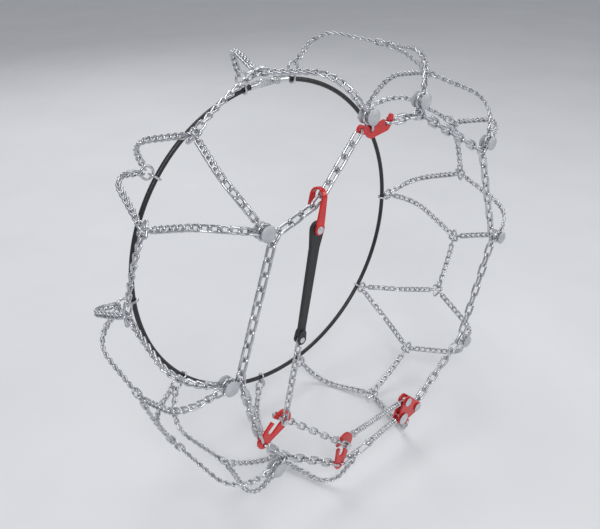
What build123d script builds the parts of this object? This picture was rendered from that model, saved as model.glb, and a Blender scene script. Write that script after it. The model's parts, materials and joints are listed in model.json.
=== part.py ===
from build123d import *
from math import acos, asin, atan2, ceil, cos, degrees, hypot, pi, radians, sin, sqrt, tan
import os

# Tire snow chain in its fitted shape, mm. Origin: tire centre. Y: wheel axis, outboard side at -Y.
# Angles run from +X towards +Z.

CROWN_RADIUS = 321.5          # centreline of the chain lying on the tread
FLAT_HALF = 66.0              # flat half width of the tread under the chain
SHOULDER_RADIUS = 46.0
SHOULDER_TURN = 72.0          # degrees from tread to sidewall
SIDE_Y = 117.0                # plane of each side chain
RAIL_RADIUS = 248.0           # side chain corners
JUNCTION_RADIUS = 266.0       # junction ring centres
LINK_GAP = 0.3                # between two linked wires

OUTER_NODES = (140, 180, 220, 320, 0, 40, 80, 100)
FULL_CELLS = (140, 180, 220, 320, 0, 40)
RING_STEP = 10.5              # degrees from a node to its tread rings
BOTTOM_RINGS = (250, 290)
TOP_RINGS = (110, 70)
INNER_NODES = (100, 140, 180, 220, 260, 280, 320, 0, 40, 80)

TREAD_WIRE, TREAD_HALF, TREAD_COUNT = 2.8, 3.9, 14
TREAD_GAP = 0.45              # between two tread links, which bend over the shoulder
CENTRE_COUNT = 8
RAIL_WIRE, RAIL_HALF, RAIL_PITCH = 3.5, 4.75, 16.96
TENSION_WIRE, TENSION_HALF = 2.5, 3.75
RING_WIRE, RING_RADIUS = 3.5, 8.75
TREAD_RING_WIRE = 3.6
CABLE_RADIUS, CABLE_WIRE = 250.0, 7.0

PLATE = 3.5                   # hook plates
OUT = Vector(0, -1, 0)
UP = Vector(0, 0, 1)


def polar(angle, radius, y=-SIDE_Y):
    return Vector(radius * cos(radians(angle)), y, radius * sin(radians(angle)))


def tangent(angle):
    return Vector(-sin(radians(angle)), 0, cos(radians(angle)))


def flat(x, z, y=-SIDE_Y):
    return Vector(x, y, z)


def frame(origin, x_dir, normal):
    """Location with x along x_dir and z as near normal as it can be."""
    x = x_dir.normalized()
    z = (normal - x * normal.dot(x)).normalized()
    return Plane(origin=origin, x_dir=x, z_dir=z).location


def rounded(corners, trim):
    """Three arc points for each corner of a closed polygon."""
    arcs = []
    for i, v in enumerate(corners):
        d1 = (corners[i - 1] - v).normalized()
        d2 = (corners[(i + 1) % len(corners)] - v).normalized()
        half = acos(max(-1.0, min(1.0, d1.dot(d2)))) / 2
        mid = v + (d1 + d2).normalized() * (trim / cos(half) - trim * tan(half))
        arcs.append((v + d1 * trim, mid, v + d2 * trim))
    return arcs


def bar(edges, wire):
    path = Wire(edges)
    return sweep(Plane(origin=path @ 0, z_dir=path % 0) * Circle(wire / 2), path=path)


def loop(corners, wire, trim):
    """Closed wire loop through rounded corners, made as two halves welded together."""
    arcs = rounded(corners, trim)
    count = len(arcs)
    split = count // 2
    mids = [(arcs[i][2] + arcs[(i + 1) % count][0]) * 0.5 for i in range(count)]
    halves = []
    for first, last in ((0, split), (split, count)):
        edges = []
        for i in range(first, last):
            edges += [Line(mids[i - 1], arcs[i][0]), ThreePointArc(*arcs[i]), Line(arcs[i][2], mids[i])]
        halves.append(bar(edges, wire))
    return (halves[0] + halves[1]).solids()[0]


LINKS = {}


def link(half_length, half_width, wire, start, end):
    """One link along X; its two bows are turned to the start and end angles about X."""
    key = (round(half_length, 2), half_width, wire, start, end)
    if key not in LINKS:
        a = key[0]
        corners = []
        for x, angle, sides in ((-a, start, (1, -1)), (a, end, (-1, 1))):
            for s in sides:
                t = radians(angle)
                corners.append(Vector(x, s * half_width * cos(t), s * half_width * sin(t)))
        LINKS[key] = loop(corners[1:] + corners[:1], wire, half_width * 0.96)
    return LINKS[key]


def resample(points, count):
    """Count + 1 points at equal steps along a polyline."""
    steps = [(b - a).length for a, b in zip(points, points[1:])]
    total = sum(steps)
    result, walked, i = [points[0]], 0.0, 0
    for n in range(1, count):
        goal = total * n / count
        while walked + steps[i] < goal:
            walked += steps[i]
            i += 1
        result.append(points[i] + (points[i + 1] - points[i]) * ((goal - walked) / steps[i]))
    return result + [points[-1]]


def straight_chain(start, end, count, turns, half_width, wire, nominal=None, normal=OUT):
    """Planar links between two joint points, turned alternately as listed in turns."""
    joints = resample([start, end], count)
    pitch = nominal or (end - start).length / count
    reach = (pitch + wire + LINK_GAP) / 2
    solids = []
    for i, (a, b) in enumerate(zip(joints, joints[1:])):
        turn = turns[i % 2]
        solids.append(link(reach, half_width, wire, turn, turn)
                      .moved(frame((a + b) * 0.5, b - a, normal)))
    return solids


def twisted_chain(points, normals, end_turn=-90):
    """Curb links along joints; the end links stand upright where they pass round a ring."""
    count = len(points) - 1
    over = (TREAD_WIRE + TREAD_GAP) / 2
    solids = []
    for i, (a, b) in enumerate(zip(points, points[1:])):
        start = 90 if i == 0 else -45
        end = end_turn if i == count - 1 else 45
        half = (b - a).length / 2 + over
        solids.append(link(half, TREAD_HALF, TREAD_WIRE, start, end)
                      .moved(frame((a + b) * 0.5, b - a, normals[i])))
    return solids


def ring_inset(ring_wire, wire):
    """From a ring's centreline in to the first joint of a chain on it."""
    return (ring_wire + wire) / 2 + LINK_GAP - (wire + TREAD_GAP) / 2


def profile(s):
    """Radius, y and outward normal (radial, y) of the chain centreline at s from the tread middle."""
    turn = radians(SHOULDER_TURN)
    arc = SHOULDER_RADIUS * turn
    if s <= FLAT_HALF:
        return CROWN_RADIUS, s, 1.0, 0.0
    angle = min((s - FLAT_HALF) / SHOULDER_RADIUS, turn)
    run = max(0.0, s - FLAT_HALF - arc)
    radius = CROWN_RADIUS - SHOULDER_RADIUS * (1 - cos(angle)) - run * sin(angle)
    y = FLAT_HALF + SHOULDER_RADIUS * sin(angle) + run * cos(angle)
    return radius, y, cos(angle), sin(angle)


def profile_length(radius):
    """s at which the sidewall line comes down to a radius."""
    turn = radians(SHOULDER_TURN)
    foot = CROWN_RADIUS - SHOULDER_RADIUS * (1 - cos(turn))
    return FLAT_HALF + SHOULDER_RADIUS * turn + (foot - radius) / sin(turn)


# Tread rings: rounded triangles in the tread surface, base towards the centre run.
RING_BASE, RING_HALF, RING_TIP, RING_TRIM = 8.0, 10.0, -13.0, 4.2
STRAND_FOOT = (-1.0, 5.714)   # on the slanted side
SLANT = atan2(RING_BASE - RING_TIP, RING_HALF)


def tread_ring(angle, toward):
    corners = [Vector(RING_BASE, -RING_HALF), Vector(RING_BASE, RING_HALF), Vector(RING_TIP, 0)]
    shape = loop([Vector(c.X * toward, c.Y, 0) for c in corners], TREAD_RING_WIRE, RING_TRIM)
    return shape.moved(Plane(origin=polar(angle, CROWN_RADIUS, 0), x_dir=tangent(angle),
                             z_dir=polar(angle, 1, 0)).location)


def strand(ring_angle, toward, side, end, end_normal, end_angle, end_radius, end_turn=-90):
    """Tread strand from a tread ring to a joint point on the side. toward: where the centre run is."""
    inset = ring_inset(TREAD_RING_WIRE, TREAD_WIRE)
    s0 = STRAND_FOOT[1] - inset * sin(SLANT)
    a0 = ring_angle + toward * degrees((STRAND_FOOT[0] + inset * cos(SLANT)) / CROWN_RADIUS)
    s1 = profile_length(end_radius + 9.0)
    full = profile_length(end_radius)
    dense = []
    for n in range(121):
        t = n / 120 * (s1 - s0) / (full - s0)
        s = s0 + (full - s0) * t
        radius, y, _, _ = profile(s)
        dense.append(polar(a0 + (end_angle - a0) * t, radius, side * y))
    dense.append(end)
    joints = resample(dense, TREAD_COUNT)
    normals = []
    for i in range(TREAD_COUNT):
        mid = (joints[i] + joints[i + 1]) * 0.5
        across = abs(mid.Y)
        around = degrees(atan2(mid.Z, mid.X))
        lean = 0.0 if across < FLAT_HALF else asin(min(1.0, (across - FLAT_HALF) / SHOULDER_RADIUS))
        lean = min(lean, radians(SHOULDER_TURN))
        normals.append(polar(around, cos(lean), side * sin(lean)))
    normals[-1] = end_normal
    return twisted_chain(joints, normals, end_turn)


def ring_strand(ring_angle, toward, side, node):
    """Strand to a round junction ring; it sits on the ring on its own side of the node."""
    reach = RING_RADIUS - ring_inset(RING_WIRE, TREAD_WIRE)
    lean = radians(28) * (1 if ((ring_angle - node + 180) % 360 - 180) > 0 else -1)
    drop = (RING_RADIUS - reach) * tan(radians(90 - SHOULDER_TURN))
    end = polar(node, JUNCTION_RADIUS + reach * cos(lean), side * (SIDE_Y + drop))
    end += tangent(node) * (reach * sin(lean))
    angle = node + (degrees(atan2(end.Z, end.X)) - node + 180) % 360 - 180
    radius = hypot(end.X, end.Z)
    base = ring_angle + (angle - ring_angle + 180) % 360 - 180
    return strand(ring_angle, toward, side, end, Vector(0, side, 0), base, radius)


def centre_run(a, b):
    inset = RING_BASE - ring_inset(TREAD_RING_WIRE, TREAD_WIRE)
    trim = degrees(inset / CROWN_RADIUS)
    a, b = a + trim, b - trim
    joints = [polar(a + (b - a) * n / CENTRE_COUNT, CROWN_RADIUS, 0) for n in range(CENTRE_COUNT + 1)]
    normals = [polar(a + (b - a) * (n + 0.5) / CENTRE_COUNT, 1, 0) for n in range(CENTRE_COUNT)]
    return twisted_chain(joints, normals)


def junction_ring(angle, side):
    return Solid.make_torus(RING_RADIUS, RING_WIRE / 2,
                            Plane(origin=polar(angle, JUNCTION_RADIUS, side * SIDE_Y), z_dir=(0, 1, 0)))


def connector(angle, side, low, half_width):
    """Upright link from a junction ring down to a centreline radius low on the side chain."""
    high = JUNCTION_RADIUS - RING_RADIUS + RING_WIRE + LINK_GAP
    shape = link((high - low) / 2, half_width, RING_WIRE, 0, 0)
    mid = polar(angle, (high + low) / 2, side * SIDE_Y)
    return shape.moved(frame(mid, polar(angle, 1, 0), tangent(angle)))


RAIL_REACH = (RAIL_PITCH + RAIL_WIRE + LINK_GAP) / 2
CORNER_SLIP = RAIL_HALF - RAIL_WIRE - LINK_GAP
HOLE = 2.6                    # link holes in the plates
HOLE_SLIP = HOLE - RAIL_WIRE / 2 - LINK_GAP


def bow_centre(centre, along):
    """Centre of a side chain link's bow on the side that along points to."""
    return centre + along * (RAIL_REACH - RAIL_HALF)


def corner_anchor(angle, sign):
    return bow_centre(polar(angle, RAIL_RADIUS), tangent(angle) * sign)


def rail(a, b, count, slip_a=CORNER_SLIP, slip_b=CORNER_SLIP):
    """Side chain links between two anchors; slip is how far the end wire lies from its anchor."""
    along = (b - a).normalized()
    a, b = a + along * slip_a, b - along * slip_b
    length = (b - a).length
    reach = max(RAIL_REACH, ((length - RAIL_WIRE - LINK_GAP) / count + RAIL_WIRE + LINK_GAP) / 2)
    solids = []
    for i in range(count):
        t = i / (count - 1) if count > 1 else 0.5
        centre = a + along * (reach + (length - 2 * reach) * t)
        turn = 90 if i % 2 == 0 else 0
        solids.append(link(reach, RAIL_HALF, RAIL_WIRE, turn, turn).moved(frame(centre, along, OUT)))
    return solids


def flat_link(centre, along):
    return link(RAIL_REACH, RAIL_HALF, RAIL_WIRE, 0, 0).moved(frame(centre, along, OUT))


def disc_pin(centre, y_front, y_back, shaft, head, head_height):
    """Round pin along Y with a domed front head and a flat back head."""
    length = y_back - y_front
    points = [(0, 0), (0, -head_height), (head * 0.55, -head_height), (head, -head_height * 0.45), (head, 0),
              (shaft, 0), (shaft, length), (shaft * 1.5, length), (shaft * 1.5, length + 1.6), (0, length + 1.6)]
    face = make_face(Polyline(*points, close=True))
    turned = revolve(face, Axis.Y).solids()[0]
    return turned.moved(Location((centre.X, y_front, centre.Z)))


def plate_slab(sketch, y_mid, thickness):
    """Sketch drawn with x = X and y = Z, extruded about the plane y_mid."""
    plane = Plane(origin=(0, y_mid, 0), x_dir=(1, 0, 0), z_dir=(0, -1, 0))
    return extrude(plane * sketch, amount=thickness / 2, both=True).solids()[0]


def disc2(p, radius):
    return Pos(p.X, p.Z) * Circle(radius)


def hull(*discs):
    edges = []
    for p, radius in discs:
        edges += (Pos(p.X, p.Z) * Circle(radius)).edges()
    return make_hull(edges)


def band(a, b, width):
    return hull((a, width / 2), (b, width / 2))


def softened(solid, amount):
    """Round both outer rims of a flat plate."""
    rims = [f.outer_wire().edges() for f in solid.faces().filter_by(Axis.Y)]
    return fillet([e for rim in rims for e in rim], amount)


parts = {}


def add(name, solids):
    parts[name] = solids if isinstance(solids, list) else [solids]


# ---- tread net ----
def near_rings(node):
    return node - RING_STEP, node + RING_STEP


for node in FULL_CELLS:
    solids = []
    for ring_angle, toward in zip(near_rings(node), (-1, 1)):
        for side in (-1, 1):
            solids += ring_strand(ring_angle, toward, side, node)
    add(f"tread_cell_{node}", solids)

top = []
for ring_angle, node, toward in ((TOP_RINGS[0], 100, 1), (TOP_RINGS[1], 80, -1)):
    for side in (-1, 1):
        top += ring_strand(ring_angle, toward, side, node)
add("tread_cell_top", top)

rings = [(a, t) for n in FULL_CELLS for a, t in zip(near_rings(n), (-1, 1))]
rings += [(TOP_RINGS[0], 1), (TOP_RINGS[1], -1), (BOTTOM_RINGS[0], -1), (BOTTOM_RINGS[1], 1)]
add("tread_rings", [tread_ring(a, t) for a, t in rings])

runs = []
ordered = sorted((a % 360, t) for a, t in rings)
for (a, ta), (b, tb) in zip(ordered, ordered[1:] + [(ordered[0][0] + 360, ordered[0][1])]):
    if ta == 1 and tb == -1:
        runs += centre_run(a, b)
add("centre_chains", runs)

# ---- side chain nodes ----
add("junction_rings_outer", [junction_ring(a, -1) for a in OUTER_NODES])
corner_low = RAIL_RADIUS + RAIL_HALF - RING_WIRE - LINK_GAP
add("connectors_outer", [connector(a, -1, corner_low, 3.75) for a in OUTER_NODES])

# ---- outer side chain, following the tensioner ----
HOLE_STEP = 3.7               # hook plates: link holes either side of the foot
foot_1, top_1 = flat(-224, -115), flat(-194, -93)
foot_2, top_2 = flat(-89, -247), flat(-80.5, -209)
low_dir = Vector(1, 0, -0.08).normalized()
holes_1 = [foot_1 - tangent(205) * HOLE_STEP, foot_1 + tangent(218) * HOLE_STEP]
holes_2 = [foot_2 - tangent(221) * HOLE_STEP, foot_2 + low_dir * HOLE_STEP]
pin_a, pin_b, pin_c = flat(47, -240), flat(56, -212), flat(81, -237)
eye_point = flat(-60.1, 250.0)
throat_point = flat(-18.0, 248.6)


def apex(a, b, la, lb):
    """Third corner of a triangle on the wheel-centre side of the line a-b."""
    base = (b - a).length
    x = (la * la - lb * lb + base * base) / (2 * base)
    along = (b - a).normalized()
    inward = Vector(along.Z, 0, -along.X)
    return a + along * x + inward * sqrt(la * la - x * x)


def corner_link(angle):
    return flat_link(polar(angle, RAIL_RADIUS), tangent(angle))


start_140 = corner_anchor(140, -1)
half_flat = RAIL_REACH - RAIL_HALF
run_length = RAIL_WIRE + LINK_GAP - 0.3
pulled = apex(start_140, eye_point, 3 * RAIL_PITCH + run_length + 2 * CORNER_SLIP + half_flat,
              5 * RAIL_PITCH + run_length + CORNER_SLIP + HOLE_SLIP + half_flat)
pull_dir = ((pulled - start_140).normalized() + (eye_point - pulled).normalized()).normalized()
add("side_chain_100_140", [corner_link(140)] + rail(start_140, bow_centre(pulled, pull_dir * -1), 3)
    + [flat_link(pulled, pull_dir)] + rail(bow_centre(pulled, pull_dir), eye_point, 5, slip_b=HOLE_SLIP))
add("side_chain_140_180", rail(corner_anchor(140, 1), corner_anchor(180, -1), 9) + [corner_link(180)])
add("side_chain_180_220", rail(corner_anchor(180, 1), holes_1[0], 7, slip_b=HOLE_SLIP)
    + rail(holes_1[1], corner_anchor(220, -1), 3, slip_a=HOLE_SLIP))
add("side_chain_220_260", [corner_link(220)] + rail(corner_anchor(220, 1), holes_2[0], 7, slip_b=HOLE_SLIP))

# Short run beyond the second hook plate to the corner link that takes the bottom strand.
PIN_RADIUS = 2.4
bottom_mid = holes_2[1] + low_dir * (HOLE_SLIP + 2 * RAIL_REACH + CORNER_SLIP + half_flat)
bottom_b = bow_centre(bottom_mid, low_dir)
add("side_chain_260", rail(holes_2[1], bow_centre(bottom_mid, low_dir * -1), 1, slip_a=HOLE_SLIP)
    + [flat_link(bottom_mid, low_dir)])
pin_slip = PIN_RADIUS + RAIL_WIRE / 2 + LINK_GAP
add("side_chain_280_320", [corner_link(320)]
    + rail(corner_anchor(320, -1), pin_c, 8, slip_b=-pin_slip))
add("side_chain_320_0", rail(corner_anchor(320, 1), corner_anchor(0, -1), 9) + [corner_link(0)])
add("side_chain_0_40", rail(corner_anchor(0, 1), corner_anchor(40, -1), 9) + [corner_link(40)])
add("side_chain_40_80", rail(corner_anchor(40, 1), corner_anchor(80, -1), 9) + [corner_link(80)])
add("closing_chain", rail(corner_anchor(80, 1), throat_point, 3, slip_b=0))

# ---- bottom strands ----
bottom = []
for ring_angle, node, toward in ((BOTTOM_RINGS[0], 260, -1), (BOTTOM_RINGS[1], 280, 1)):
    bottom += ring_strand(ring_angle, toward, 1, node)
rail_out = Vector(low_dir.Z, 0, -low_dir.X)
wire_point = bottom_mid + rail_out * (RAIL_HALF - ring_inset(RAIL_WIRE, TREAD_WIRE) - 0.15)
lug_pin, LUG_RADIUS = flat(60, -256), 2.0
LUG_LEAN = 298                # direction the last bottom link leaves its pin
lug_slip = LUG_RADIUS + TREAD_WIRE / 2 + LINK_GAP - (TREAD_WIRE + TREAD_GAP) / 2
lug_point = lug_pin - polar(LUG_LEAN, lug_slip, 0)
for end, ring_angle, toward, turn in ((wire_point, BOTTOM_RINGS[0], -1, -90), (lug_point, BOTTOM_RINGS[1], 1, 0)):
    around = degrees(atan2(end.Z, end.X)) % 360
    bottom += strand(ring_angle, toward, -1, end, OUT, around, hypot(end.X, end.Z), turn)
add("tread_cell_bottom", bottom)

# ---- closure hook at the top ----
mid = polar(100, 247.0)
throat_foot = throat_point - UP * 2.5
tip = throat_point + Vector(8.4, 0, 2.5)
body = hull((eye_point, 5.1), (mid, 4.8)) + disc2(mid, 7.7)
body += hull((mid - UP * 1.5, 6.2), (throat_foot, 7.5))
body += hull((throat_foot, 7.5), (tip, 3.6)) + hull((tip, 3.6), (tip + Vector(0.4, 0, 3.5), 3.0))
body -= disc2(eye_point, HOLE)
body -= disc2(polar(100, corner_low), HOLE)
body -= band(throat_point, throat_point + UP * 22, 6.2)
add("closure_hook", plate_slab(body, -SIDE_Y, PLATE))

# ---- bumpers over the junction rings ----
DISC, DISC_GAP, STUD = 9.8, 6.5, 2.6
for angle in OUTER_NODES:
    cap = [(0, -DISC_GAP - 4.0), (4.5, -DISC_GAP - 3.8), (8.6, -DISC_GAP - 3.0), (DISC, -DISC_GAP - 1.8),
           (DISC, -DISC_GAP), (STUD, -DISC_GAP), (STUD, DISC_GAP + 2.6), (1.4, DISC_GAP + 3.4), (0, DISC_GAP + 3.4)]
    washer = [(STUD + 0.03, DISC_GAP), (DISC, DISC_GAP), (DISC, DISC_GAP + 1.6), (DISC - 1, DISC_GAP + 2.4),
              (STUD + 0.03, DISC_GAP + 2.4)]
    turned = [revolve(make_face(Polyline(*p, close=True)), Axis.Y).solids()[0] for p in (cap, washer)]
    centre = polar(angle, JUNCTION_RADIUS)
    add(f"bumper_{angle}", [s.moved(Location((centre.X, centre.Y, centre.Z))) for s in turned])

# ---- hook plates: a teardrop with a long seat that opens to the left ----
HEAD_RADIUS, SEAT, MOUTH = 14.5, 10.0, 6.0
for index, foot, top_pin, holes in ((1, foot_1, top_1, holes_1), (2, foot_2, top_2, holes_2)):
    axis = (top_pin - foot).normalized()
    left = Vector(-axis.Z, 0, axis.X)
    outline = hull((holes[0], 5.6), (holes[1], 5.6))
    outline += hull((foot + axis, 8.0), (top_pin - left * 3.5, HEAD_RADIUS))
    outline -= band(top_pin - axis * 19, top_pin, SEAT)
    outline -= band(top_pin - axis * 5.5, top_pin - axis * 7.5 + left * 24, MOUTH)
    for h in holes:
        outline -= disc2(h, HOLE)
    add(f"hook_plate_{index}", plate_slab(outline, -SIDE_Y, PLATE))

# ---- tension chain, guide pins ----
FRONT_Y, BACK_Y = -125.5, -107.8
PIN_SHAFT = 2.1
add("guide_pin_1", disc_pin(top_1, FRONT_Y - 1.9, BACK_Y + 1.9, PIN_SHAFT, 4.4, 2.2))
add("guide_pin_2", disc_pin(top_2, FRONT_Y - 1.9, BACK_Y + 1.9, PIN_SHAFT, 5.2, 3.0))
pin_reach = PIN_SHAFT + TENSION_WIRE / 2 + LINK_GAP - (TENSION_WIRE + LINK_GAP) / 2
STRAP_Y = -122.9
strap_low = flat(-163, 17, STRAP_Y)


def pinned_chain(p, q, count):
    along = (q - p).normalized()
    return straight_chain(p - along * pin_reach, q + along * pin_reach, count, (0, 90),
                          TENSION_HALF, TENSION_WIRE)


add("tension_chain_upper", pinned_chain(Vector(top_1.X, FRONT_Y, top_1.Z), strap_low, 11))
add("tension_chain_lower", pinned_chain(Vector(top_1.X, BACK_Y, top_1.Z),
                                        Vector(top_2.X, FRONT_Y, top_2.Z), 13))

# ---- rubber strap and its end hook ----
strap_dir = (flat(pulled.X, pulled.Z, STRAP_Y) - strap_low).normalized()
strap_side = Vector(strap_dir.Z, 0, -strap_dir.X)
hook_span = (flat(pulled.X, pulled.Z, STRAP_Y) - strap_low).length
strap_len = hook_span - 22


def on_strap(u, v=0.0, y=STRAP_Y):
    p = strap_low + strap_dir * u + strap_side * v
    return Vector(p.X, y, p.Z)


outline = hull((on_strap(0), 6.0), (on_strap(16), 4.6)) + hull((on_strap(16), 4.6), (on_strap(60), 5.6))
outline += hull((on_strap(60), 5.6), (on_strap(strap_len - 30), 6.2))
outline += hull((on_strap(strap_len - 30), 6.2), (on_strap(strap_len - 8), 9.5))
strap = plate_slab(outline, STRAP_Y, 5.0)
strap += plate_slab(hull((on_strap(0), 6.0), (on_strap(8), 5.0)), STRAP_Y, 9.0)
strap -= plate_slab(hull((on_strap(0), 7.5), (on_strap(-12), 8.0)), STRAP_Y, 3.4)
strap -= plate_slab(disc2(on_strap(0), 2.15), STRAP_Y, 20.0)
rivet_u = strap_len - 8
strap -= plate_slab(disc2(on_strap(rivet_u), 3.05), STRAP_Y, 20.0)
add("rubber_strap", strap)
add("strap_pin", disc_pin(on_strap(0), STRAP_Y - 4.6, STRAP_Y + 4.6, 2.1, 3.6, 1.2))

SHANK = 2.8                   # thickness of the end hook
shank_y = STRAP_Y - 2.6 - SHANK / 2
top_u = hook_span + 6.6
gap_front, gap_back = shank_y + SHANK / 2, -SIDE_Y + 7.6
half_gap, bend_y = (gap_back - gap_front) / 2, (gap_back + gap_front) / 2
bend = Plane(origin=on_strap(0, 0, 0), x_dir=(0, 1, 0), z_dir=strap_side)
upward = 1 if bend.y_dir.dot(strap_dir) > 0 else -1


def leg(y, low):
    """Side view of a straight leg of the end hook, from low up to the bend."""
    return Pos(y, upward * (low + top_u) / 2) * Rectangle(SHANK, top_u - low)


side_view = Pos(bend_y, upward * top_u) * (Circle(half_gap + SHANK) - Circle(half_gap))
side_view -= Pos(bend_y, upward * (top_u - 15)) * Rectangle(60, 30)
side_view += leg(shank_y, rivet_u - 12) + leg(gap_back + SHANK / 2, top_u - 15)
front_view = hull((on_strap(rivet_u), 6.4), (on_strap(top_u + 12), 3.0))
end_hook = extrude(bend * side_view, amount=9.0, both=True)
end_hook &= plate_slab(front_view, bend_y, 40.0)
end_hook -= plate_slab(disc2(on_strap(rivet_u), 3.05), shank_y, 8.0)
add("end_hook", end_hook.solids()[0])
add("end_hook_rivet", disc_pin(on_strap(rivet_u), shank_y - SHANK / 2 - 0.05, STRAP_Y + 2.6, 3.0, 4.6, 1.6))

# ---- bracket with three pins ----
GAP = 3.4                     # from the chain plane to each bracket plate
BRACKET = 2.8
bracket = hull((pin_a, 10.5), (pin_b, 9.0), (pin_c, 9.0))
bracket += hull((pin_a, 8.0), (lug_pin, 4.4))
for name, side in (("bracket_front", -1), ("bracket_back", 1)):
    outline = bracket - disc2(lug_pin, LUG_RADIUS + 0.05)
    for p in (pin_a, pin_b, pin_c):
        outline -= disc2(p, PIN_RADIUS + 0.05)
    y = -SIDE_Y + side * (GAP + BRACKET / 2)
    add(name, softened(plate_slab(outline, y, BRACKET), 0.7))
pins = []
for centre, head in ((pin_a, 9.4), (pin_b, 7.2), (pin_c, 7.0)):
    pins.append(disc_pin(centre, -SIDE_Y - GAP - BRACKET - 0.1, -SIDE_Y + GAP + BRACKET + 0.1, PIN_RADIUS, head, 3.0))
pins.append(disc_pin(lug_pin, -SIDE_Y - GAP - BRACKET - 0.1, -SIDE_Y + GAP + BRACKET + 0.1, LUG_RADIUS, 3.4, 1.2))
add("bracket_pins", pins)


# ---- springs ----
SPRING_ARM = 12.0             # from a bracket pin to the first coil


def spring_set(name, near, far, radius, wire, coil_pitch, plug):
    """Spring from a bracket pin (near) to its cap (far). Gives the frame, the length and the cap."""
    along = (far - near).normalized()
    length = (far - near).length
    base = frame(near, along, OUT)
    turned = Rot(0, 90, 0)
    core = radius - wire / 2 - 0.25
    anchor = Cylinder(5.2, 4.0) + Pos(SPRING_ARM / 2, 0, 0) * Box(SPRING_ARM, 5.0, 4.0)
    anchor -= Cylinder(PIN_RADIUS + 0.3, 12)
    anchor += Pos(SPRING_ARM + plug / 2, 0, 0) * turned * Cylinder(core, plug)
    add(f"{name}_anchor", anchor.solids()[0].moved(base))
    helix = Helix(pitch=coil_pitch, height=length - SPRING_ARM, radius=radius)
    coil = sweep(Plane(origin=helix @ 0, z_dir=helix % 0) * Circle(wire / 2), path=helix, is_frenet=True)
    add(name, (Pos(SPRING_ARM, 0, 0) * turned * coil).solids()[0].moved(base))
    cap_from = length + wire / 2 + 0.25
    cap = Pos(cap_from + 1.7, 0, 0) * turned * Cylinder(radius + wire / 2 + 0.9, 3.4)
    cap += Pos(cap_from - plug / 2, 0, 0) * turned * Cylinder(core, plug + 1)
    return base, cap_from + 3.4, cap


SLOT = 8.0                    # draw eye travel round the guide pin
far_1 = flat(-48, -217.5, -109.6)
base_1, end_1, cap_1 = spring_set("spring_long", pin_b, far_1, 3.7, 1.9, 4.2, 9)
reach_1 = (Vector(top_2.X, BACK_Y, top_2.Z) - pin_b).length
slot_mid = reach_1 - SLOT / 2
draw_eye = Pos((end_1 - 1 + reach_1 - SLOT) / 2, 0, 0) * Box(reach_1 - SLOT - end_1 + 1, 4.4, 2.4)
draw_eye += Pos(slot_mid, 0, 0) * Box(SLOT, 11.0, 2.4)
draw_slot = Pos(slot_mid, 0, 0) * Box(SLOT, 4.9, 20)
for x in (slot_mid - SLOT / 2, slot_mid + SLOT / 2):
    draw_eye += Pos(x, 0, 0) * Cylinder(5.5, 2.4)
    draw_slot += Pos(x, 0, 0) * Cylinder(2.45, 20)
add("spring_long_cap", (cap_1 + draw_eye - draw_slot).solids()[0].moved(base_1))

far_2 = flat(-22, -247.3)
base_2, end_2, cap_2 = spring_set("spring_short", pin_a, far_2, 4.1, 2.1, 4.8, 7)
along_2 = (far_2 - pin_a).normalized()
bow_at = (bottom_b - pin_a).dot(along_2) - CORNER_SLIP
stem = 3.0
corners = [Vector(bow_at, 4.75, 0), Vector(end_2 + stem - 1, 4.75, 0),
           Vector(end_2 + stem - 1, -4.75, 0), Vector(bow_at, -4.75, 0)]
cap_2 += Rot(90, 0, 0) * loop(corners, 3.0, 4.4)
cap_2 += Pos(end_2 + stem / 2 - 0.5, 0, 0) * Rot(0, 90, 0) * Cylinder(2.6, stem)
add("spring_short_cap", cap_2.solids()[0].moved(base_2))

# ---- inner side ----
add("junction_rings_inner", [junction_ring(a, 1) for a in INNER_NODES])
INNER_HALF = 5.8
cable_low = CABLE_RADIUS - CABLE_WIRE / 2 - RING_WIRE / 2 - LINK_GAP
add("connectors_inner", [connector(a, 1, cable_low, INNER_HALF) for a in INNER_NODES])
END_ANGLE = 4.6
cable_plane = Plane(origin=(0, SIDE_Y, 0), x_dir=(0, 0, 1), z_dir=(0, 1, 0))
arc = ThreePointArc(polar(90 + END_ANGLE, CABLE_RADIUS, SIDE_Y), polar(270, CABLE_RADIUS, SIDE_Y),
                    polar(90 - END_ANGLE, CABLE_RADIUS, SIDE_Y))
add("inner_cable", bar([arc], CABLE_WIRE).solids()[0])

FERRULE, EAR_AT, EAR = 5.2, 9.0, 4.5
ears = {}
for name, sign in (("coupling_clevis", 1), ("coupling_fork", -1)):
    a = 90 + sign * END_ANGLE
    origin = polar(a, CABLE_RADIUS, SIDE_Y)
    away = tangent(a) * (-sign)
    ears[name] = origin + away * EAR_AT
    body = Pos(-7, 0, 0) * Rot(0, 90, 0) * Cylinder(FERRULE, 14)
    body -= Pos(-8, 0, 0) * Rot(0, 90, 0) * Cylinder(CABLE_WIRE / 2 + 0.45, 16)
    body += Pos(1.2, 0, 0) * Rot(0, 90, 0) * Cylinder(FERRULE, 2.4)
    ear = Pos(5.5, 0, 0) * Box(7, 2 * EAR, 9.6) + Pos(EAR_AT, 0, 0) * Cylinder(EAR, 9.6)
    ear -= Pos(8.5, 0, 0) * Box(11, 14, 4.6)
    if sign == 1:
        ear += Pos(EAR_AT, 0, 0) * Cylinder(2.0, 9.6)
    else:
        ear -= Pos(EAR_AT, 0, 0) * Cylinder(1.63, 12)
    add(name, (body + ear).solids()[0].moved(frame(origin, away, Vector(0, 1, 0))))
pivot, bar_at = ears["coupling_fork"], ears["coupling_clevis"]
tongue = hull((pivot, 4.2), (bar_at, 5.4)) - disc2(pivot, 1.66)
tongue -= band(bar_at, bar_at - UP * 20, 4.7)
add("coupling_hook", plate_slab(tongue, SIDE_Y, 3.6))
add("coupling_pin", disc_pin(pivot, SIDE_Y - 4.9, SIDE_Y + 4.9, 1.6, 3.0, 1.2))

os.makedirs("parts", exist_ok=True)
for name, solids in parts.items():
    compound = Compound(label=name, children=[s for s in solids])
    export_step(compound, f"parts/{name}.step")
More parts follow.
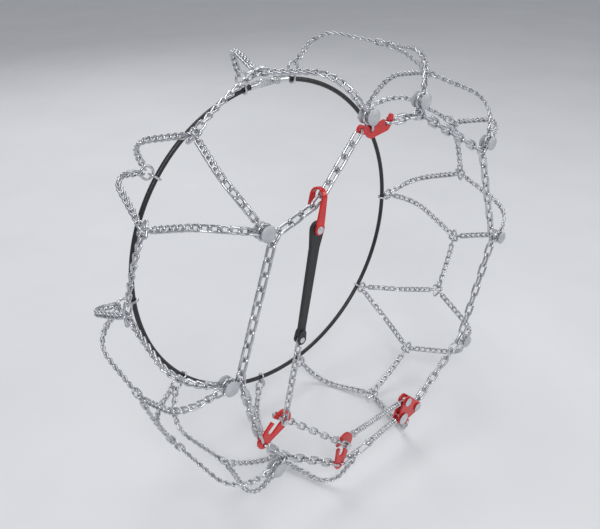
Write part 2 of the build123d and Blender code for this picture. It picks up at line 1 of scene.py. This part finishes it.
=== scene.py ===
"""Tyre snow chain: looks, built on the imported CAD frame. Metres, same frame as the CAD."""
import json
import math

import bpy
import numpy as np
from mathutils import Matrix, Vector


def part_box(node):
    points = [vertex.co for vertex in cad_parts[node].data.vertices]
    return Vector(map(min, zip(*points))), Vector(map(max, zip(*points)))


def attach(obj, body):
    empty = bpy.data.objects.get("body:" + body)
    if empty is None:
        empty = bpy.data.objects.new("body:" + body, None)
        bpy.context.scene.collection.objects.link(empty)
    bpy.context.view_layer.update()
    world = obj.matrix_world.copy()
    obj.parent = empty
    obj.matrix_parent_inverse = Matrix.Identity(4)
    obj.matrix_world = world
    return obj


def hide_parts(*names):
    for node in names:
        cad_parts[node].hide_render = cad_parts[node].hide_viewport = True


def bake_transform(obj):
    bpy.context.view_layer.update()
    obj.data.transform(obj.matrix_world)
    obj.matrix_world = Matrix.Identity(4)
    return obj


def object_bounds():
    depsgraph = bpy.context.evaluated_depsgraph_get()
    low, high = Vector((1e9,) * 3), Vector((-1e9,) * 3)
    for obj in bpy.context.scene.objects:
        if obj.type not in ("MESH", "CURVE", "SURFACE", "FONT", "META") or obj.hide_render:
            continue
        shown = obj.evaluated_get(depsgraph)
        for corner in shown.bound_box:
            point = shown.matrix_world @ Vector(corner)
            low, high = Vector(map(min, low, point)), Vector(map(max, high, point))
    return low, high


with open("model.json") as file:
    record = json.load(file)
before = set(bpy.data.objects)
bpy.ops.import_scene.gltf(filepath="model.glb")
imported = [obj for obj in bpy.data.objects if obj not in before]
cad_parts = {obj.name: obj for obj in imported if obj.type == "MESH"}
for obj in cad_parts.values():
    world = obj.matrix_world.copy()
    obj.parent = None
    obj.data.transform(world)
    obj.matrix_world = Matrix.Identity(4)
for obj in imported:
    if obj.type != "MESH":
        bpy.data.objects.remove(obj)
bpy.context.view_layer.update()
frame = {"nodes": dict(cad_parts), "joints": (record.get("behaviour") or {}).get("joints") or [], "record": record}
nodes = frame["nodes"]
bodies = frame["record"]["behaviour"]["bodies"]
body_of = {node: body for body, members in bodies.items() for node in members}
joints = {joint["name"]: joint for joint in frame["joints"]}
MM = 0.001


# ---- materials ----
class Shader:
    """A small builder for procedural materials on object coordinates."""

    def __init__(self, name):
        self.material = bpy.data.materials.new(name)
        self.material.use_nodes = True
        self.tree = self.material.node_tree
        self.bsdf = self.tree.nodes["Principled BSDF"]
        self.where = self.node("ShaderNodeTexCoord").outputs["Object"]

    def node(self, kind, **settings):
        made = self.tree.nodes.new(kind)
        for key, value in settings.items():
            setattr(made, key, value)
        return made

    def link(self, a, b):
        self.tree.links.new(a, b)

    def noise(self, scale, detail=3.0, roughness=0.55, source=None):
        made = self.node("ShaderNodeTexNoise")
        made.inputs["Scale"].default_value = scale
        made.inputs["Detail"].default_value = detail
        made.inputs["Roughness"].default_value = roughness
        self.link(source or self.where, made.inputs["Vector"])
        return made.outputs["Fac"]

    def ramp(self, source, low, high, colours):
        """Colour that runs from the first colour at low to the second at high."""
        made = self.node("ShaderNodeValToRGB")
        for element, place, colour in zip(made.color_ramp.elements, (low, high), colours):
            element.position = place
            element.color = (*colour, 1.0)
        self.link(source, made.inputs["Fac"])
        return made.outputs["Color"]

    def spread(self, source, low, high, to_low, to_high):
        made = self.node("ShaderNodeMapRange")
        for key, value in zip(("From Min", "From Max", "To Min", "To Max"), (low, high, to_low, to_high)):
            made.inputs[key].default_value = value
        self.link(source, made.inputs["Value"])
        return made.outputs["Result"]

    def mix(self, factor, a, b):
        made = self.node("ShaderNodeMix", data_type="RGBA")
        self.link(factor, made.inputs["Factor"])
        self.link(a, made.inputs["A"])
        self.link(b, made.inputs["B"])
        return made.outputs["Result"]

    def bump(self, source, strength, distance, under=None):
        made = self.node("ShaderNodeBump")
        made.inputs["Strength"].default_value = strength
        made.inputs["Distance"].default_value = distance
        self.link(source, made.inputs["Height"])
        if under is not None:
            self.link(under, made.inputs["Normal"])
        return made.outputs["Normal"]

    def set(self, **values):
        for key, value in values.items():
            socket = self.bsdf.inputs[key.replace("_", " ")]
            if isinstance(value, bpy.types.NodeSocket):
                self.link(value, socket)
            else:
                socket.default_value = value


def steel(name, dark, light, rough_low, rough_high, pits=0.3):
    """Plated steel: cloudy brightness, uneven roughness and fine pitting."""
    s = Shader(name)
    cloud = s.noise(95.0, 4.0)
    fine = s.noise(900.0, 3.0)
    worn = s.noise(320.0, 5.0, 0.65)
    s.set(Metallic=1.0, Base_Color=s.ramp(cloud, 0.32, 0.68, (dark, light)),
          Roughness=s.spread(worn, 0.3, 0.7, rough_low, rough_high))
    s.set(Normal=s.bump(fine, pits, 0.00006, s.bump(worn, pits, 0.00012)))
    return s.material


def coated(name, colour, deep, metal):
    """Gloss coat on steel with faint orange peel, rubbed through in specks along worn places."""
    s = Shader(name)
    cloud = s.noise(60.0, 3.0)
    peel = s.noise(1100.0, 2.0)
    chips = s.noise(480.0, 6.0, 0.7)
    patch = s.noise(40.0, 2.0)
    base = s.ramp(cloud, 0.3, 0.7, (deep, colour))
    product = s.node("ShaderNodeMath", operation="MULTIPLY")
    s.link(s.spread(chips, 0.66, 0.72, 0.0, 1.0), product.inputs[0])
    s.link(s.spread(patch, 0.52, 0.64, 0.0, 1.0), product.inputs[1])
    bare = s.node("ShaderNodeRGB")
    bare.outputs[0].default_value = (*metal, 1.0)
    s.set(Base_Color=s.mix(product.outputs[0], base, bare.outputs[0]),
          Roughness=s.spread(chips, 0.3, 0.7, 0.26, 0.36),
          Coat_Weight=0.5, Coat_Roughness=0.16,
          Normal=s.bump(peel, 0.25, 0.00005))
    return s.material


def moulded(name, low, high, rough_low, rough_high, grain=0.3, sheen=0.0):
    """Moulded plastic or rubber with a fine spark-eroded grain."""
    s = Shader(name)
    cloud = s.noise(70.0, 3.0)
    grains = s.noise(1600.0, 4.0, 0.7)
    scuffs = s.noise(240.0, 5.0, 0.7)
    s.set(Base_Color=s.ramp(cloud, 0.3, 0.7, (low, high)),
          Roughness=s.spread(scuffs, 0.3, 0.7, rough_low, rough_high),
          Sheen_Weight=sheen, Normal=s.bump(grains, grain, 0.00005))
    return s.material


MATERIALS = {
    "galvanised_chain": steel("galvanised_chain", (0.44, 0.45, 0.47), (0.70, 0.71, 0.73), 0.20, 0.34),
    "bright_steel": steel("bright_steel", (0.58, 0.59, 0.60), (0.82, 0.83, 0.84), 0.14, 0.28, 0.2),
    "plated_pins": steel("plated_pins", (0.56, 0.58, 0.60), (0.76, 0.78, 0.80), 0.30, 0.46, 0.35),
    "red_coated_steel": coated("red_coated_steel", (0.66, 0.008, 0.008), (0.50, 0.004, 0.005), (0.5, 0.5, 0.5)),
    "grey_plastic": moulded("grey_plastic", (0.42, 0.44, 0.46), (0.52, 0.54, 0.56), 0.28, 0.44),
    "black_rubber": moulded("black_rubber", (0.008, 0.008, 0.009), (0.018, 0.018, 0.020), 0.42, 0.62, 0.5, 0.1),
    "cable_cover": moulded("cable_cover", (0.010, 0.010, 0.012), (0.022, 0.022, 0.025), 0.30, 0.45, 0.3),
}
SLOT_OF = {entry["node"]: entry["material_slot"] for entry in frame["record"]["subparts"]}


def finish_cad(node):
    """Puts the slot's material on a CAD node that stays."""
    mesh = nodes[node].data
    mesh.materials.clear()
    mesh.materials.append(MATERIALS[SLOT_OF[node]])


# ---- mesh building ----
def mesh_of(name, points, faces):
    mesh = bpy.data.meshes.new(name)
    mesh.from_pydata([tuple(p) for p in points], [], [tuple(f) for f in faces])
    mesh.polygons.foreach_set("use_smooth", [True] * len(mesh.polygons))
    return mesh


def new_piece(name, points, faces, cad):
    """A mesh piece in place of CAD nodes, riding on their body."""
    mesh = mesh_of(name, points, faces)
    mesh.materials.append(MATERIALS[SLOT_OF[cad[0]]])
    piece = bpy.data.objects.new(name, mesh)
    bpy.context.scene.collection.objects.link(piece)
    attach(piece, body_of[cad[0]])
    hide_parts(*cad)
    return piece


def islands(node):
    """The separate solids of a CAD node, each as an array of its points."""
    mesh = nodes[node].data
    points = np.empty(len(mesh.vertices) * 3)
    mesh.vertices.foreach_get("co", points)
    points = points.reshape(-1, 3)
    edges = np.empty(len(mesh.edges) * 2, np.int64)
    mesh.edges.foreach_get("vertices", edges)
    _, first, same = np.unique(np.round(points / 1e-7).astype(np.int64), axis=0,
                               return_index=True, return_inverse=True)
    edges = same.ravel()[edges].reshape(-1, 2)
    label = np.arange(len(first))
    while True:
        low = np.minimum(label[edges[:, 0]], label[edges[:, 1]])
        new = label.copy()
        np.minimum.at(new, edges[:, 0], low)
        np.minimum.at(new, edges[:, 1], low)
        new = new[new]
        if (new == label).all():
            break
        label = new
    kept = points[first]
    return [kept[label == k] for k in np.unique(label)]


def rounded_loop(corners, trim, arc_steps=9, leg_steps=5):
    """Points round a closed polygon whose corners are arcs that start trim before each corner."""
    points = []
    count = len(corners)
    for i in range(count):
        corner = corners[i]
        d1 = corners[i - 1] - corner
        d2 = corners[(i + 1) % count] - corner
        d1, d2 = d1 / np.linalg.norm(d1), d2 / np.linalg.norm(d2)
        half = math.acos(np.clip(d1 @ d2, -1, 1)) / 2
        middle = (d1 + d2) / np.linalg.norm(d1 + d2)
        centre = corner + middle * (trim / math.cos(half))
        a, b = corner + d1 * trim - centre, corner + d2 * trim - centre
        swing = math.pi - 2 * half
        for k in range(arc_steps + 1):
            t = k / arc_steps
            points.append(centre + (math.sin((1 - t) * swing) * a + math.sin(t * swing) * b) / math.sin(swing))
        following = corners[(i + 1) % count]
        leg_end = following - d2 * trim
        start = corner + d2 * trim
        for k in range(1, leg_steps):
            points.append(start + (leg_end - start) * k / leg_steps)
    return np.array(points)


def tube(path, radii, sides, closed=True):
    """Points and quads of a round tube along a path."""
    count = len(path)
    if closed:
        forward = np.roll(path, -1, 0) - np.roll(path, 1, 0)
    else:
        forward = np.gradient(path, axis=0)
    forward /= np.linalg.norm(forward, axis=1)[:, None]
    side = np.cross(forward[0], [0.31, 0.59, 0.74])
    side /= np.linalg.norm(side)
    sides_at = []
    for k in range(count):
        side = side - forward[k] * (side @ forward[k])
        side /= np.linalg.norm(side)
        sides_at.append(side)
    sides_at = np.array(sides_at)
    if closed:
        last = side - forward[0] * (side @ forward[0])
        last /= np.linalg.norm(last)
        turn = math.atan2(np.cross(sides_at[0], last) @ forward[0], sides_at[0] @ last)
    else:
        turn = 0.0
    up = np.cross(forward, sides_at)
    angle = (np.arange(sides) * 2 * math.pi / sides)[None, :] - (turn * np.arange(count) / count)[:, None]
    ring = (np.cos(angle)[..., None] * sides_at[:, None] + np.sin(angle)[..., None] * up[:, None])
    points = (path[:, None] + ring * np.asarray(radii).reshape(-1, 1, 1)).reshape(-1, 3)
    faces = []
    for k in range(count if closed else count - 1):
        n = (k + 1) % count
        for j in range(sides):
            m = (j + 1) % sides
            faces.append((k * sides + j, k * sides + m, n * sides + m, n * sides + j))
    if not closed:
        faces.append(tuple(range(sides))[::-1])
        faces.append(tuple(range((count - 1) * sides, count * sides)))
    return points, faces


def direction(points):
    """Main direction of a flat spread of points."""
    return np.linalg.svd(points - points.mean(0), full_matrices=False)[2][0]


def link_path(points, wire, half_width):
    """Centre line of a link, read from where its CAD solid lies and how each end is turned."""
    along = direction(points)
    middle = points.mean(0)
    t = (points - middle) @ along
    middle = middle + along * (t.max() + t.min()) / 2
    half = (t.max() - t.min()) / 2
    t = (points - middle) @ along
    ends = []
    for sign in (-1, 1):
        tip = points[t * sign > half - 1.25 * wire]
        tip = tip - np.outer((tip - middle) @ along, along)
        turned = direction(tip)
        across = np.cross(along, turned)
        centre = middle.copy()
        for axis in (turned, across):
            reach = (tip - middle) @ axis
            centre = centre + axis * (reach.max() + reach.min()) / 2
        ends.append((turned, centre))
    offset = (ends[0][1] + ends[1][1]) / 2 - middle
    middle = middle + offset - along * (offset @ along)
    reach = half - wire / 2
    best = None
    for flip in (1, -1):
        a, b = ends[0][0], ends[1][0] * flip
        corners = [middle - along * reach + a * half_width, middle - along * reach - a * half_width,
                   middle + along * reach - b * half_width, middle + along * reach + b * half_width]
        path = rounded_loop(corners, half_width * 0.96)
        off = np.linalg.norm(points[:, None] - path[None], axis=2).min(1)
        score = np.abs(off - wire / 2).mean()
        if best is None or score < best[0]:
            best = (score, path)
    return best[1]


WELD_BULGE = 0.09             # how much thicker the wire is at the weld


def chain_piece(name, cad, wire, half_width, sides=12):
    """All links of a CAD node as smooth welded links."""
    points, faces = [], []
    for solid in islands(cad):
        path = link_path(solid, wire, half_width)
        steps = np.arange(len(path))
        weld_at = len(path) - 3
        off = np.minimum(np.abs(steps - weld_at), len(path) - np.abs(steps - weld_at))
        radii = wire / 2 * (1 + WELD_BULGE * np.exp(-off ** 2))
        p, f = tube(path, radii, sides)
        start = len(points)
        points.extend(p)
        faces.extend([tuple(i + start for i in face) for face in f])
    return new_piece(name, points, faces, [cad])


def lathe(profile, centre, segments=56):
    """Surface of revolution about an axis along Y, from (radius, y) points that start and end on it."""
    points, faces = [], []
    inner = profile[1:-1]
    points.append(centre + Vector((0, profile[0][1], 0)))
    for radius, y in inner:
        for k in range(segments):
            a = 2 * math.pi * k / segments
            points.append(centre + Vector((radius * math.cos(a), y, radius * math.sin(a))))
    points.append(centre + Vector((0, profile[-1][1], 0)))
    end = len(points) - 1
    for k in range(segments):
        n = (k + 1) % segments
        faces.append((0, 1 + k, 1 + n))
        faces.append((end, 1 + (len(inner) - 1) * segments + n, 1 + (len(inner) - 1) * segments + k))
        for row in range(len(inner) - 1):
            a, b = 1 + row * segments, 1 + (row + 1) * segments
            faces.append((a + k, b + k, b + n, a + n))
    return points, faces


def round_edges(piece, width, segments, angle=35):
    """Joins the CAD triangles into flat faces and rounds the edges between them."""
    weld = piece.modifiers.new("weld", "WELD")
    weld.merge_threshold = 1e-6
    flat = piece.modifiers.new("flat", "DECIMATE")
    flat.decimate_type = "DISSOLVE"
    flat.angle_limit = math.radians(2)
    bevel = piece.modifiers.new("bevel", "BEVEL")
    bevel.width = width
    bevel.segments = segments
    bevel.limit_method = "ANGLE"
    bevel.angle_limit = math.radians(angle)
    piece.data.polygons.foreach_set("use_smooth", [True] * len(piece.data.polygons))
    normals = piece.modifiers.new("normals", "WEIGHTED_NORMAL")
    normals.keep_sharp = True


def soften(node, width, segments=3):
    """Rounds the edges of a CAD node that stays."""
    round_edges(nodes[node], width, segments)
    finish_cad(node)


# ---- chains: wire and half the width between leg centres ----
TREAD = (2.8 * MM, 3.9 * MM)
RAIL = (3.5 * MM, 4.75 * MM)
TENSION = (2.5 * MM, 3.75 * MM)
OUTER_TIE = (3.5 * MM, 3.75 * MM)
INNER_TIE = (3.5 * MM, 5.8 * MM)
for node in sorted(nodes):
    if node.startswith("tread_cell") or node == "centre_chains":
        chain_piece(node + "_links", node, *TREAD)
    elif node.startswith("side_chain") or node == "closing_chain":
        chain_piece(node + "_links", node, *RAIL, sides=14)
    elif node.startswith("tension_chain"):
        chain_piece(node + "_links", node, *TENSION)
chain_piece("connectors_outer_links", "connectors_outer", *OUTER_TIE, sides=14)
chain_piece("connectors_inner_links", "connectors_inner", *INNER_TIE, sides=14)


# ---- bumpers ----
def bumper(node):
    low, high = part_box(node)
    centre = Vector(((low.x + high.x) / 2, 0, (low.z + high.z) / 2))
    front, back = low.y, high.y
    disc = (high.x - low.x) / 2
    stud = 2.6 * MM
    inner_front = front + 4.0 * MM
    inner_back = back - 3.4 * MM
    edge = 0.9 * MM
    rim = disc - edge
    dome = [(0, front + 0.5 * MM), (2.0 * MM, front + 0.45 * MM), (2.6 * MM, front)]
    for k in range(1, 9):
        t = k / 8
        dome.append((2.6 * MM + (rim - 2.6 * MM) * t, front + 2.0 * MM * t ** 2.2))
    dome += [(rim + edge * 0.75, front + 2.5 * MM), (disc, front + 3.1 * MM),
             (disc - 0.2 * MM, inner_front - 0.2 * MM), (disc - 0.6 * MM, inner_front),
             (stud + 0.8 * MM, inner_front), (stud, inner_front + 0.8 * MM)]
    groove = [(stud, inner_back - 0.8 * MM), (stud + 0.8 * MM, inner_back),
              (disc - 0.6 * MM, inner_back), (disc, inner_back + 0.5 * MM),
              (disc, inner_back + 1.6 * MM), (disc - 0.9 * MM, inner_back + 2.3 * MM),
              (stud + 1.6 * MM, inner_back + 2.4 * MM), (stud + 1.4 * MM, back - 0.3 * MM),
              (stud, back), (0, back)]
    points, faces = lathe(dome + groove, centre)
    new_piece(node + "_disc", points, faces, [node])


for node in sorted(nodes):
    if node.startswith("bumper_"):
        bumper(node)

# ---- red plates, pins and ferrules keep their CAD shape ----
for node in ("closure_hook", "hook_plate_1", "hook_plate_2", "bracket_front", "bracket_back"):
    soften(node, 0.75 * MM, 4)
soften("end_hook", 0.9 * MM, 4)
for node in ("coupling_clevis", "coupling_fork", "coupling_hook"):
    soften(node, 0.4 * MM)
for node in ("spring_long_anchor", "spring_short_anchor", "spring_long_cap", "spring_short_cap"):
    soften(node, 0.3 * MM)


def smooth_cad(node):
    """A CAD node that keeps its shape, with smooth curved faces."""
    piece = nodes[node]
    weld = piece.modifiers.new("weld", "WELD")
    weld.merge_threshold = 1e-6
    piece.data.polygons.foreach_set("use_smooth", [True] * len(piece.data.polygons))
    finish_cad(node)


for node in ("tread_rings", "junction_rings_outer", "junction_rings_inner"):
    smooth_cad(node)


def headed_pins(name, node):
    """Pins along Y with a domed front head, a shaft and a small riveted tail."""
    all_points, all_faces = [], []
    for solid in islands(node):
        low, high = solid.min(0), solid.max(0)
        centre = Vector(((low[0] + high[0]) / 2, 0, (low[2] + high[2]) / 2))
        head = (high[0] - low[0]) / 2
        front, back = low[1], high[1]
        near = solid[:, 1] > back - 1.2 * MM
        tail = (solid[near][:, 0].max() - solid[near][:, 0].min()) / 2
        shaft = tail / 1.5
        steps = np.unique(np.round(solid[:, 1], 5))
        under = steps[steps > front + 0.9 * MM].min()
        depth = under - front
        profile = [(0, front)]
        for k in range(1, 10):
            a = k / 10 * math.pi / 2
            profile.append((head * math.sin(a), front + depth * 0.85 * (1 - math.cos(a))))
        profile += [(head, front + depth * 0.9), (head - 0.15 * MM, under), (shaft, under),
                    (shaft, back - 1.6 * MM), (tail, back - 1.6 * MM), (tail, back - 0.5 * MM),
                    (tail - 0.5 * MM, back), (0, back)]
        points, faces = lathe(profile, centre, 40)
        start = len(all_points)
        all_points.extend(points)
        all_faces.extend([tuple(i + start for i in f) for f in faces])
    new_piece(name, all_points, all_faces, [node])


headed_pins("bracket_rivets", "bracket_pins")
headed_pins("guide_pin_1_turned", "guide_pin_1")
headed_pins("guide_pin_2_turned", "guide_pin_2")
headed_pins("end_hook_rivet_turned", "end_hook_rivet")
headed_pins("strap_pin_turned", "strap_pin")
headed_pins("coupling_pin_turned", "coupling_pin")


# ---- springs and strap: new meshes in place of the CAD nodes ----
def span(node, axis):
    """The two ends of a node along an axis, on its middle line."""
    points = np.concatenate(islands(node))
    axis = np.array(axis)
    t = points @ axis
    centre = points.mean(0)
    centre = centre - axis * (centre @ axis)
    return Vector(centre + axis * t.min()), Vector(centre + axis * t.max())


def stretching(name, node, joint, mesh, start, end):
    """A piece in place of a CAD node, with the node's material and its mesh fixed in world space."""
    mesh.materials.clear()
    mesh.materials.append(MATERIALS[SLOT_OF[node]])
    piece = bpy.data.objects.new(name, mesh)
    bpy.context.scene.collection.objects.link(piece)
    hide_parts(node)
    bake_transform(piece)


def coil(node, joint, radius, wire, pitch):
    """An extension spring with closely wound end turns."""
    start, end = span(node, joint["axis"])
    along = np.array((end - start).normalized())
    length = (end - start).length - wire
    side = np.cross(along, [0, 1, 0])
    side /= np.linalg.norm(side)
    up = np.cross(along, side)
    close = 1.5 * (wire + 0.1 * MM)
    turns = 3.0 + (length - 2 * close) / pitch
    steps = int(turns * 22)
    t = np.linspace(0, turns, steps)
    rise = np.interp(t, [0, 1.5, turns - 1.5, turns], [0, close, length - close, length])
    angle = t * 2 * math.pi
    centre = np.array(start) + along * wire / 2
    path = (centre + rise[:, None] * along + radius * np.cos(angle)[:, None] * side
            + radius * np.sin(angle)[:, None] * up)
    points, faces = tube(path, np.full(steps, wire / 2), 12, closed=False)
    stretching(node + "_coil", node, joint, mesh_of(node + "_coil", points, faces), start, end)


coil("spring_long", joints["spring_long_extend"], 3.7 * MM, 1.9 * MM, 4.2 * MM)
coil("spring_short", joints["spring_short_extend"], 4.1 * MM, 2.1 * MM, 4.8 * MM)


def rounded_copy(node, width, segments):
    """The mesh of a CAD node with its edges rounded."""
    draft = bpy.data.objects.new(node + "_draft", nodes[node].data.copy())
    bpy.context.scene.collection.objects.link(draft)
    round_edges(draft, width, segments)
    bpy.context.view_layer.update()
    made = draft.evaluated_get(bpy.context.evaluated_depsgraph_get())
    mesh = bpy.data.meshes.new_from_object(made)
    mesh.name = node + "_rounded"
    bpy.data.objects.remove(draft)
    return mesh


pull = joints["strap_stretch"]
stretching("rubber_strap_moulded", "rubber_strap", pull, rounded_copy("rubber_strap", 1.1 * MM, 4),
           *span("rubber_strap", pull["axis"]))


# ---- inner hoop ----
HOOP_HALF_GAP = 20.05 * MM    # half of the opening that the coupling closes


def hoop():
    low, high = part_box("inner_cable")
    wire = high.y - low.y
    middle = (low.y + high.y) / 2
    radius = (high.x - low.x - wire) / 2
    half_open = math.asin(HOOP_HALF_GAP / radius)
    turns = np.linspace(math.pi / 2 + half_open, math.pi / 2 - half_open + 2 * math.pi, 361)
    path = np.stack([radius * np.cos(turns), np.full_like(turns, middle), radius * np.sin(turns)], 1)
    points, faces = tube(path, np.full(len(path), wire / 2), 20, closed=False)
    new_piece("inner_cable_cover", points, faces, ["inner_cable"])


hoop()

for node in nodes:
    if not nodes[node].data.materials or nodes[node].data.materials[0] not in MATERIALS.values():
        finish_cad(node)

# ---- floor, light and camera ----
low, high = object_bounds()
bpy.ops.mesh.primitive_plane_add(size=14, location=(0, 0, low.z - 0.0005))
floor = bpy.context.object
floor.name = "studio_floor"
paper = Shader("studio_paper")
greys = ((0.76, 0.77, 0.79), (0.80, 0.81, 0.83))
paper.set(Base_Color=paper.ramp(paper.noise(3.0), 0.3, 0.7, greys), Roughness=0.7)
floor.data.materials.append(paper.material)


def area_light(name, place, size, power, aim=(0, 0, 0)):
    data = bpy.data.lights.new(name, "AREA")
    data.shape = "RECTANGLE"
    data.size, data.size_y = size
    data.energy = power
    lamp = bpy.data.objects.new(name, data)
    bpy.context.scene.collection.objects.link(lamp)
    lamp.location = place
    lamp.rotation_euler = (Vector(aim) - Vector(place)).to_track_quat("-Z", "Y").to_euler()


area_light("key_light", (-1.6, -2.0, 2.2), (1.4, 1.0), 42)
area_light("fill_light", (1.9, -1.6, 1.2), (1.2, 1.2), 12)
area_light("top_light", (0.2, 0.6, 2.4), (1.6, 1.2), 16)
area_light("back_light", (0.6, 2.4, 1.4), (1.4, 1.0), 12)
world = bpy.data.worlds.new("studio")
world.use_nodes = True
world.node_tree.nodes["Background"].inputs["Color"].default_value = (0.93, 0.95, 1.0, 1.0)
world.node_tree.nodes["Background"].inputs["Strength"].default_value = 0.38
bpy.context.scene.world = world
bpy.context.scene.view_settings.view_transform = "Standard"

# Degrees round from the front, degrees up, and metres from the origin.
AZIMUTH, ELEVATION, DISTANCE = -43.95, 29.62, 0.991
azimuth, elevation = math.radians(AZIMUTH), math.radians(ELEVATION)
back = Vector((math.sin(azimuth) * math.cos(elevation), -math.cos(azimuth) * math.cos(elevation),
               math.sin(elevation)))
lens = bpy.data.cameras.new("camera")
lens.sensor_width = 36.0
lens.lens = 40.57
lens.shift_x, lens.shift_y = -0.0446, 0.0052
camera = bpy.data.objects.new("camera", lens)
bpy.context.scene.collection.objects.link(camera)
camera.location = back * DISTANCE
camera.rotation_euler = (-back).to_track_quat("-Z", "Y").to_euler()
bpy.context.scene.camera = camera
